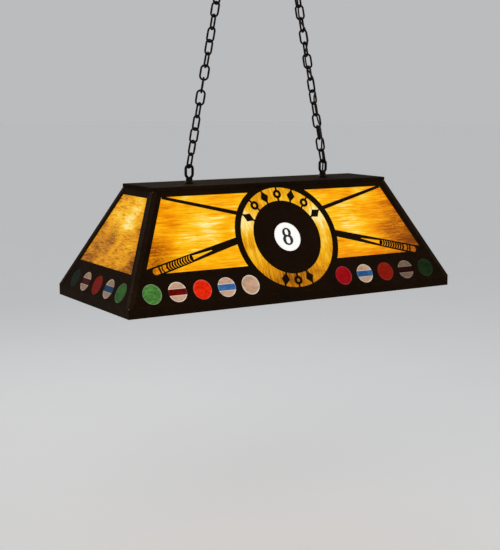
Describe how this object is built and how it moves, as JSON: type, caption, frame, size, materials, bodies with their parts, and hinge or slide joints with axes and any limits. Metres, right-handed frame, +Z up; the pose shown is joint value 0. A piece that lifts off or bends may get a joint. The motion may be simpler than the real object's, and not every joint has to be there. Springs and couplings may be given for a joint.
{
  "type": "pool table lamp",
  "caption": "Long four-sided steel and amber glass pendant lamp for a billiard table, hung on two chains from a ceiling canopy, with bulbs in a row inside.",
  "frame": {"origin": "on the ceiling, in the middle of the mounting strap's top face", "axes": "+Z up to the ceiling, +X along the shade's length towards the chain that carries the cord, front is -Y"},
  "size_m": [1.221, 0.527, 1.1016],
  "materials": {
    "black_steel": "satin oil-rubbed near-black",
    "cap_steel": "satin oil-rubbed dark brown",
    "chain_metal": "satin near-black",
    "zinc_steel": "zinc plated",
    "amber_glass": "streaky translucent art glass",
    "number_white": "opal",
    "numeral_black": "matt black",
    "green_glass": "opal art glass",
    "red_glass": "opal art glass",
    "crimson_glass": "opal art glass",
    "white_glass": "opal art glass",
    "blue_glass": "opal art glass",
    "maroon_glass": "opal art glass",
    "socket_metal": "satin",
    "socket_body": "moulded phenolic",
    "wire_cover": "smooth",
    "cord_cover": "smooth",
    "bulb_glass": "frosted"
  },
  "bodies": {
    "ceiling": {"ceiling_canopy": "black_steel", "mounting_strap": "zinc_steel", "canopy_screws": "zinc_steel", "canopy_cap_nuts": "black_steel", "left_canopy_loop": "chain_metal", "right_canopy_loop": "chain_metal", "canopy_loop_nuts": "zinc_steel"},
    "right_top_link": {"right_top_link": "chain_metal"},
    "right_chain": {"right_chain_links": "chain_metal", "power_cord": "cord_cover"},
    "right_bottom_link": {"right_bottom_link": "chain_metal"},
    "left_top_link": {"left_top_link": "chain_metal"},
    "left_chain": {"left_chain_links": "chain_metal"},
    "left_bottom_link": {"left_bottom_link": "chain_metal"},
    "shade": {"left_shade_loop": "chain_metal", "right_shade_loop": "chain_metal", "shade_loop_nuts": "zinc_steel", "shade_loop_washers": "zinc_steel", "top_cap": "cap_steel", "top_frame": "black_steel", "front_panel": "black_steel", "rear_panel": "black_steel", "left_end_panel": "black_steel", "right_end_panel": "black_steel", "bottom_rim": "black_steel", "hip_trims": "black_steel", "front_left_glass": "amber_glass", "front_right_glass": "amber_glass", "front_ring_glass": "amber_glass", "rear_left_glass": "amber_glass", "rear_right_glass": "amber_glass", "rear_ring_glass": "amber_glass", "left_end_glass": "amber_glass", "right_end_glass": "amber_glass", "number_glass": "number_white", "numerals": "numeral_black", "green_ball_glass": "green_glass", "red_ball_glass": "red_glass", "crimson_ball_glass": "crimson_glass", "white_ball_glass": "white_glass", "blue_stripes": "blue_glass", "maroon_stripes": "maroon_glass", "glass_clips": "zinc_steel", "ball_glass_rails": "zinc_steel", "lamp_bar": "socket_metal", "socket_stems": "socket_metal", "stem_nuts": "zinc_steel", "socket_caps": "socket_metal", "socket_bodies": "socket_body", "wiring_harness": "wire_cover"},
    "bulb_1": {"bulb_1": "bulb_glass"},
    "bulb_2": {"bulb_2": "bulb_glass"},
    "bulb_3": {"bulb_3": "bulb_glass"},
    "bulb_4": {"bulb_4": "bulb_glass"},
    "bulb_5": {"bulb_5": "bulb_glass"}
  },
  "joints": [
    {"name": "swing_front_back", "type": "hinge", "parent": "ceiling", "child": "right_top_link", "pos_m": [0.1438, 0, -0.0845], "axis": [1, 0, 0], "range_deg": [-20, 20], "deforming": ["power_cord"]},
    {"name": "sway_side", "type": "hinge", "parent": "right_top_link", "child": "right_chain", "pos_m": [0.15148, 0, -0.12294], "axis": [0, 1, 0], "range_deg": [-5, 5]},
    {"name": "shade_level", "type": "hinge", "parent": "right_chain", "child": "right_bottom_link", "pos_m": [0.25382, 0, -0.63511], "axis": [0, 1, 0], "range_deg": [-3, 3]},
    {"name": "shade_tilt", "type": "hinge", "parent": "right_bottom_link", "child": "shade", "pos_m": [0.2615, 0, -0.67356], "axis": [1, 0, 0], "range_deg": [-10, 10]},
    {"name": "left_swing", "type": "hinge", "parent": "ceiling", "child": "left_top_link", "pos_m": [-0.1438, 0, -0.0845], "axis": [1, 0, 0], "range_deg": [-20, 20]},
    {"name": "left_sway", "type": "hinge", "parent": "left_top_link", "child": "left_chain", "pos_m": [-0.15148, 0, -0.12294], "axis": [0, 1, 0], "range_deg": [-5, 5]},
    {"name": "left_level", "type": "hinge", "parent": "left_chain", "child": "left_bottom_link", "pos_m": [-0.25382, 0, -0.63511], "axis": [0, 1, 0], "range_deg": [-3, 3]},
    {"name": "bulb_1_unscrew", "type": "slide", "parent": "shade", "child": "bulb_1", "axis": [0, 0, -1], "range_m": [0, 0.06]},
    {"name": "bulb_2_unscrew", "type": "slide", "parent": "shade", "child": "bulb_2", "axis": [0, 0, -1], "range_m": [0, 0.06]},
    {"name": "bulb_3_unscrew", "type": "slide", "parent": "shade", "child": "bulb_3", "axis": [0, 0, -1], "range_m": [0, 0.06]},
    {"name": "bulb_4_unscrew", "type": "slide", "parent": "shade", "child": "bulb_4", "axis": [0, 0, -1], "range_m": [0, 0.06]},
    {"name": "bulb_5_unscrew", "type": "slide", "parent": "shade", "child": "bulb_5", "axis": [0, 0, -1], "range_m": [0, 0.06]}
  ],
  "couplings": [
    {"joint": "left_swing", "follows": "swing_front_back", "ratio": 1},
    {"joint": "left_sway", "follows": "sway_side", "ratio": 1},
    {"joint": "shade_level", "follows": "sway_side", "ratio": -0.5968},
    {"joint": "left_level", "follows": "sway_side", "ratio": -0.5968}
  ]
}
